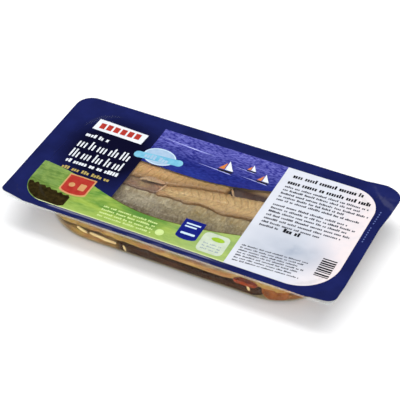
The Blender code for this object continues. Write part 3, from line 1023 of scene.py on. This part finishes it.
def make_panel_print(inks, draw):
    """Rows of print on the white panel, a plain bar pattern, and small ticks on the border."""
    black = word_row(54.0, 110.0, 44.4, 4.0, 1.9, draw, 7, 0.03)
    black += word_row(53.0, 117.0, 36.8, 4.0, 1.9, draw, 7, 0.035)
    black += word_row(71.0, 84.0, -12.5, 4.2, 2.2, draw, 4)
    printed_field("ink_black_rows", black, inks["black"], BADGE_LIFT)

    grey = []
    rows = ((33.0, 117.0), (29.2, 112.0), (25.2, 120.0), (21.4, 104.0), (17.6, 116.0), (11.6, 110.0),
            (7.8, 117.0), (4.0, 113.0), (0.0, 116.0), (-4.0, 112.0), (-8.0, 98.0), (-12.0, 68.0))
    for front, right in rows:
        grey += word_row(53.0, right, front - 0.6, 2.1, 1.3, draw, 8, 0.03)
    for number in range(7):
        grey += word_row(51.0, 100.0 - 2.5 * (number % 3), -37.0 - 2.7 * number, 1.4, 1.1, draw, 8, 0.055)
    printed_field("ink_grey_rows", grey, inks["grey"], BADGE_LIFT)

    bars = []
    for number in range(9):
        back = -24.0 - 2.2 * number
        bars.append(box_outline(107.0, 117.6, back - draw.choice((0.8, 1.1, 1.5)), back))
    printed_field("ink_bars", bars, inks["black"], BADGE_LIFT)

    fronts = [2.0 + 2.6 * number for number in range(14) if number != 7]
    ticks = [box_outline(124.2, 124.9, front, front + 1.3) for front in fronts]
    printed_field("ink_border_ticks", ticks, inks["dull_blue"], FIELD_LIFT)


def make_boats(inks):
    """Three plain sailing boats and their wakes, on the sea, and a long line of foam behind them."""
    boats = {}
    for name, shape in BOAT_SHAPES.items():
        boats[name] = [[(left + x * size, front + y * size) for x, y in shape] for left, front, size in BOATS]
    boats["ink_foam"].append([(-53.0, 44.4), (-24.0, 41.6), (-6.0, 41.2), (-24.0, 42.6)])
    printed_field("ink_sails", boats["ink_sails"], inks["plate_white"], BADGE_LIFT)
    printed_field("ink_small_sails", boats["ink_small_sails"], inks["orange"], BADGE_LIFT)
    printed_field("ink_hulls", boats["ink_hulls"], inks["black"], BADGE_LIFT)
    printed_field("ink_foam", boats["ink_foam"], inks["foam"], BADGE_LIFT - 0.012, 0.01)


def make_print():
    inks = {name: ink("ink_" + name, mottled(*colours)) for name, colours in PLAIN_INKS.items()}
    inks["navy"] = ink("ink_navy", navy_colour, 1.0)
    inks["sea_blue"] = ink("ink_sea_blue", sea_colour)
    inks["meadow_green"] = ink("ink_meadow_green", meadow_colour)
    inks["panel_white"] = ink("ink_panel_white", white_colour)
    draw = random.Random(7)
    make_ground(inks)
    make_fields(inks)
    make_title(inks, draw)
    make_badges(inks, draw)
    make_panel_print(inks, draw)
    make_boats(inks)


# The contents


def fillet_width(along, head, tail, head_end, tail_end):
    """The share of a fillet's full width at a place along it, from the head end (0) to the tail end (1)."""
    body = head + (tail - head) * along**1.6
    ends = 1.0
    for from_end, rounding in ((along, head_end), (1.0 - along, tail_end)):
        inward = max(0.0, 1.0 - from_end / rounding)
        ends *= math.sqrt(1.0 - inward * inward)
    return body * ends


def make_fillet(name, material, ends, middles, half_width, thickness, height, roll, head, tail, seed,
                crown=0.0, head_end=WHOLE_END, tail_end=WHOLE_END, tucked=(0.0, 0.0), waves=(), touch=TOUCH,
                fullness=EDGE_FULLNESS, sides=110):
    """A fillet along X, from its head end to its tail end, with uneven edges and flakes in low relief.

    Its front half hangs down by its crown at the edge. It is tucked this much further to the front and back
    than its solid, where its neighbours lie on it. Each wave moves its front edge out by an amount, round a
    place along X, over a width. It keeps its touch away from the wall. Each point keeps its place in the run
    of flakes, how near the cut edge it is, and whether it is underneath, for the material.
    """
    stations = max(24, int(abs(ends[1] - ends[0]) / 0.95 * FINE))
    sides = int(sides * math.sqrt(FINE))
    top_sides = int(sides * 0.68)
    rings = []
    flakes = []
    edges = []
    unders = []
    for station in range(stations + 1):
        along = 0.003 + 0.994 * (0.5 - 0.5 * math.cos(math.pi * station / stations))
        x = ends[0] + (ends[1] - ends[0]) * along
        middle = middles[0] + (middles[1] - middles[0]) * along
        share = fillet_width(along, head, tail, head_end, tail_end)
        thick = thickness / 2 * (0.45 + 0.55 * share) * min(1.0, share * 2.5)
        full = min(1.0, share * 2.0)
        front_reach = tucked[0] + sum(amount * bump_at(x, place, width) for amount, place, width in waves)
        ring = []
        for side in range(sides):
            if side < top_sides:
                angle = math.pi * side / top_sides
            else:
                angle = math.pi + math.pi * (side - top_sides) / (sides - top_sides)
            across = math.cos(angle)
            up = math.sin(angle)
            face = abs(up) ** 0.5
            flake = (x + 7.0 * abs(across) ** 1.3) / FLAKE_LENGTH
            border = 11.0 if across > 0 else 29.0
            ragged = 0.8 * wave_noise(x / 8.0, border, seed) + 0.35 * wave_noise(x / 2.6, border, seed + 5)
            wide = half_width * share + ragged * min(1.0, share * 3.0) - 0.3
            y = middle + wide * across
            z = height + roll * (y - middle) - crown * min(across, 0.0) ** 2
            z += thick * math.copysign(abs(up) ** fullness, up)
            y += (tucked[1] if across > 0 else -front_reach) * full * across**2
            z += face * 0.34 * wave_noise(x / 12.0, y / 6.0, seed)
            z += face * 0.14 * wave_noise(x / 3.4, y / 2.6, seed)
            z += face * 0.06 * math.cos(2 * math.pi * flake) * math.copysign(1.0, up)
            z -= 0.30 * bump_at(across, 0.12, 0.06) * max(0.0, up)
            y += (1.0 - face) * 0.4 * wave_noise(x / 2.2, z / 1.6, seed + 9)
            ring.append(tuck_inside(Vector((x, y, z)), touch))
            flakes.append(flake)
            edges.append(abs(across))
            unders.append(smooth_step(0.1, -0.25, up))
        rings.append(ring)
    piece = loft(name + "_piece", rings)
    store(piece, "flake", flakes)
    store(piece, "edge", edges)
    store(piece, "under", unders)
    finish_piece(piece, material, 80.0, [name])


def make_strip(name, material, path, widths, thickness, tilt, seed):
    """A thin strip along a path of points, with a width at each, tilted about its run by some degrees."""
    steps = 36
    sides = 20
    lean = math.radians(tilt)
    upwards = Vector((0.0, 0.0, 1.0))
    rings = []
    for step in range(steps + 1):
        along = step / steps * (len(path) - 1)
        number = min(int(along), len(path) - 2)
        share = along - number
        centre = Vector(path[number]).lerp(Vector(path[number + 1]), share)
        before = Vector(path[max(number - 1, 0)])
        run = (Vector(path[number + 1]) - before).normalized()
        wide = widths[number] + (widths[number + 1] - widths[number]) * share
        side = run.cross(upwards).normalized() * math.cos(lean) + upwards * math.sin(lean)
        normal = side.cross(run).normalized()
        slim = 0.25 + 0.75 * math.sin(math.pi * min(max(step / steps, 0.02), 0.98)) ** 0.4
        ring = []
        for corner, angle in enumerate(round_angles(sides)):
            wobble = 1.0 + 0.25 * wave_noise(step * 0.3, corner * 0.15, seed)
            offset = side * (wide / 2 * slim * wobble * math.cos(angle))
            offset += normal * (thickness / 2 * math.sin(angle))
            ring.append(tuck_inside(centre + offset, TOUCH))
        rings.append(ring)
    piece = loft(name, rings)
    store(piece, "flake", [0.25] * len(piece.data.vertices))
    for plain_one in ("edge", "under"):
        store(piece, plain_one, [0.0] * len(piece.data.vertices))
    finish_piece(piece, material, 60.0)


def make_fish():
    """Two layers of fillets, which overlap like shingles in the window, and the thin flaps at their edges."""
    golden = flesh("smoked_flesh_golden", "#d2b380", "#b99662", "#7c5829", "#8e6a3a", "#cbab78")
    warm = flesh("smoked_flesh_warm", "#dbb17a", "#c49a62", "#86602f", "#98733f", "#a88b4c")
    pink = flesh("smoked_flesh_pink", "#9c7b62", "#876650", "#583d2c", "#6e513e")
    pale = flesh("belly_membrane", "#b89a78", "#a58462", "#7a5f46", "#8e7358")
    silver = silver_skin_material()
    dark = dark_skin_material("herring_skin_dark", "#573322", "#371f16", "#25130d", "#a8865a")
    brown = dark_skin_material("herring_skin_brown", "#5e341f", "#3b1f15", "#21100b", "#3b1f15", True)
    ripples = ((1.5, -28.0, 5.0), (1.0, -6.0, 6.0), (-1.0, 5.0, 5.0), (2.6, 24.0, 7.0), (0.8, 35.0, 5.0))
    hollow = ((-5.0, 63.5, 12.0), (-3.6, 84.0, 9.0))
    lapped = ((3.0, -26.0, 12.0), (-0.8, 8.0, 9.0))
    behind_carrot = ((-12.0, 82.5, 9.0), (-3.0, 62.0, 8.0))
    make_fillet("fillet_front", silver, (112.0, -106.0), (-32.3, -32.3), 25.0, 9.0, 19.7,
                -0.02, 1.0, 0.8, 3.0, crown=5.6, tucked=(3.0, 5.0), waves=hollow, sides=150)
    make_fillet("fillet_left", pink, (-25.5, -76.0), (-6.0, -8.6), 5.5, 4.0, 21.9, -0.12,
                1.0, 0.7, 13.0, tucked=(0.0, 3.0), sides=70)
    make_fillet("fillet_middle", golden, (112.0, -30.5), (11.2, -7.8), 12.3, 7.0, 21.9, -0.05,
                1.0, 0.35, 23.0, crown=-1.0, tail_end=0.03, tucked=(0.0, 6.0), waves=ripples)
    make_fillet("fillet_top", warm, (20.0, -104.0), (30.8, 9.7), 23.5, 6.5, 21.8, -0.10,
                0.9, 0.8, 33.0, head_end=CUT_END, waves=lapped, sides=140)
    make_fillet("fillet_dark", dark, (18.0, 110.0), (33.0, 44.0), 20.0, 8.0, 21.2, 0.0,
                1.0, 0.7, 43.0, head_end=CUT_END, tucked=(7.0, 0.0))
    make_fillet("fillet_lower_front", brown, (-100.0, 108.0), (-28.0, -26.0), 26.0, 10.2, 5.7,
                0.0, 1.0, 0.6, 53.0, crown=0.6, tucked=(14.0, 0.0), waves=behind_carrot, touch=0.9,
                fullness=0.3, sides=90)
    make_fillet("fillet_lower_back", brown, (106.0, -100.0), (24.0, 24.0), 24.0, 9.0, 6.2, 0.0,
                1.0, 0.8, 63.0, sides=90)
    make_strip("belly_flap", pale,
               [(-46.5, -3.4, 25.0), (-41.5, -1.4, 25.7), (-35.0, -0.7, 25.9), (-27.0, -0.8, 25.4)],
               (1.6, 4.0, 4.6, 3.2), 0.7, -8.0, 5.0)
    make_strip("torn_edge", pale,
               [(19.0, 16.0, 24.8), (20.6, 13.2, 25.3), (22.2, 10.6, 25.1), (24.4, 7.8, 24.9)],
               (1.2, 1.8, 1.8, 1.0), 0.8, 20.0, 8.0)
    make_strip("rolled_edge", pale,
               [(-25.3, -1.0, 25.5), (-26.0, -3.8, 25.3), (-27.2, -7.0, 24.9), (-28.9, -10.6, 24.2)],
               (1.0, 1.5, 1.6, 1.0), 0.8, 20.0, 11.0)


def make_carrot(name, material, centre, half_length, half_width, thickness, lean):
    """An oval slice of carrot with a sunken core, its face leaning forward by an angle in degrees."""
    half = thickness / 2
    profile = (
        (0.08, 0.35 - half), (0.34, 0.3 - half), (0.42, -half), (0.86, -half), (0.96, -half * 0.7),
        (1.0, 0.0), (0.96, half * 0.7), (0.86, half), (0.42, half), (0.34, half - 0.3), (0.08, half - 0.35),
    )
    turn = Euler((math.radians(lean), 0.0, 0.0))
    rings = []
    for share, height in profile:
        ring = []
        for angle in round_angles(72):
            across, deep = math.cos(angle), math.sin(angle)
            uneven = share * (1.0 + 0.03 * wave_noise(across * 2.0, deep * 2.0, half_length))
            local = Vector((half_length * uneven * across, half_width * uneven * deep, height))
            local.rotate(turn)
            ring.append(tuck_inside(Vector(centre) + local, TOUCH))
        rings.append(ring)
    piece = loft(name + "_piece", rings)
    finish_piece(piece, material, 45.0, [name])


def make_onion(name, material, start, end, sag, width, thickness, replaces=()):
    """A strip of onion that lies against the front wall, between two points (X, Z), bowed down by its sag."""
    steps = 40
    run = Vector((end[0] - start[0], end[1] - start[1]))
    rings = []
    for step in range(steps + 1):
        along = step / steps
        slim = 0.35 + 0.65 * math.sin(math.pi * min(max(along, 0.02), 0.98)) ** 0.5
        uneven = 1.0 + 0.3 * wave_noise(along * 5.0, start[0])
        x = start[0] + run.x * along
        z = start[1] + run.y * along - sag * 4 * along * (1 - along) + 0.5 * wave_noise(along * 4.0, end[0])
        slope = Vector((run.x, run.y - sag * 4 * (1 - 2 * along))).normalized()
        ring = []
        for angle in round_angles(20):
            across = width / 2 * slim * uneven * math.cos(angle)
            height = z + slope.x * across
            place = x - slope.y * across
            inward = TOUCH + thickness / 2 * (1.0 + math.sin(angle))
            ring.append(Vector((place, front_wall(place, height, inward), height)))
        rings.append(ring)
    piece = loft(name + "_piece", rings)
    finish_piece(piece, material, 60.0, replaces)


def make_vegetables():
    """Slices of carrot and strips of onion against the front wall, and two pale crumbs of onion that stand in
    for glints on the wall, as painted highlights.
    """
    carrot = vegetable("cooked_carrot", "#a8411e", "#742810", 2.5, 1.5)
    browned = vegetable("browned_carrot", "#a8663a", "#7c4422", 4.0, 1.5)
    onion = vegetable("cooked_onion", "#f6ead2", "#d9c29a", 1.2, 4.0)
    make_carrot("carrot_upper", carrot, (63.0, -51.6, 13.0), 10.8, 9.2, 3.4, 0.0)
    make_carrot("carrot_lower", browned, (83.4, -50.8, 8.2), 10.6, 7.2, 2.6, 62.0)
    make_onion("onion_left", onion, (-68.5, 13.2), (-61.0, 9.8), 0.3, 3.2, 1.3, ["onion_left"])
    make_onion("onion_right", onion, (-58.5, 11.0), (-37.5, 8.6), 0.4, 3.2, 1.3, ["onion_right"])
    # Two pale crumbs of onion placed where glints shine on the wall: painted highlights
    make_onion("onion_crumb_glint_left", onion, (-31.6, 9.5), (-30.2, 4.4), 0.0, 2.0, 1.0)
    make_onion("onion_crumb_glint_right", onion, (65.2, 11.4), (66.4, 7.0), 0.0, 2.2, 1.0)


# The studio


def make_floor():
    """A pale matt board, with the faint unevenness of its coating."""
    deselect()
    bpy.ops.mesh.primitive_plane_add(size=6.0, location=(0.0, 0.0, -0.0001))
    floor = bpy.context.object
    floor.name = "floor"
    material, tree = new_material("matt_white_board")
    tone = layered(tree, "#f7f7f7", (patches(tree, 60.0, 0.3, 0.7), "#f4f4f5"))
    surface = add(tree, "BsdfPrincipled", {"Base Color": tone, "Roughness": 0.9, "Specular IOR Level": 0.1})
    add(tree, "OutputMaterial", {"Surface": surface})
    floor.data.materials.append(material)


def add_softbox(name, place, aim, width, height, watts, colour="#ffffff"):
    deselect()
    bpy.ops.object.light_add(type="AREA", location=place)
    light = bpy.context.object
    light.name = name
    light.rotation_euler = (Vector(aim) - Vector(place)).to_track_quat("-Z", "Y").to_euler()
    light.data.shape = "RECTANGLE"
    light.data.size = width
    light.data.size_y = height
    light.data.energy = watts
    light.data.color = linear(colour)[:3]


def make_lights():
    add_softbox("softbox_overhead", (0.0, 0.0, 1.0), (0.0, 0.0, 0.0), 2.0, 1.6, 7.5)
    add_softbox("strip_overhead", (-0.1, 0.15, 0.98), (-0.1, 0.15, 0.0), 1.4, 0.5, 8.6)
    add_softbox("softbox_front", (0.4, -1.1, 0.5), (0.0, 0.0, 0.02), 1.6, 0.9, 14.0)
    add_softbox("softbox_left", (-1.15, -0.4, 0.5), (0.0, 0.0, 0.02), 1.3, 0.95, 6.5)
    add_softbox("softbox_right", (1.15, 0.2, 0.5), (0.0, 0.0, 0.02), 1.3, 0.95, 4.5)
    world = bpy.data.worlds.new("dim_studio")
    world.use_nodes = True
    bpy.context.scene.world = world
    background = world.node_tree.nodes["Background"]
    background.inputs["Color"].default_value = linear("#eef1f6")
    background.inputs["Strength"].default_value = 0.07


def make_camera():
    """The camera looks down on the pack from the front right, from a little over a metre away."""
    turn = math.radians(26.14)
    rise = math.radians(41.37)
    distance = 1.1249
    back = Vector((math.sin(turn) * math.cos(rise), -math.cos(turn) * math.cos(rise), math.sin(rise)))
    right = Vector((math.cos(turn), math.sin(turn), 0.0))
    up = back.cross(right)
    centre = Vector((0.0, 0.0, 0.0275)) + right * 0.00076 - up * 0.00604
    deselect()
    bpy.ops.object.camera_add(location=centre + back * distance)
    camera = bpy.context.object
    camera.name = "camera"
    camera.rotation_euler = (-back).to_track_quat("-Z", "Y").to_euler()
    camera.data.sensor_width = 36.0
    camera.data.lens = 140.93
    camera.data.clip_start = 0.05
    bpy.context.scene.camera = camera


make_tray()
make_oil()
make_film()
make_print()
make_fish()
make_vegetables()
make_floor()
make_lights()
make_camera()
bpy.context.scene.view_settings.view_transform = "Standard"
bpy.context.scene.cycles.transparent_max_bounces = 24
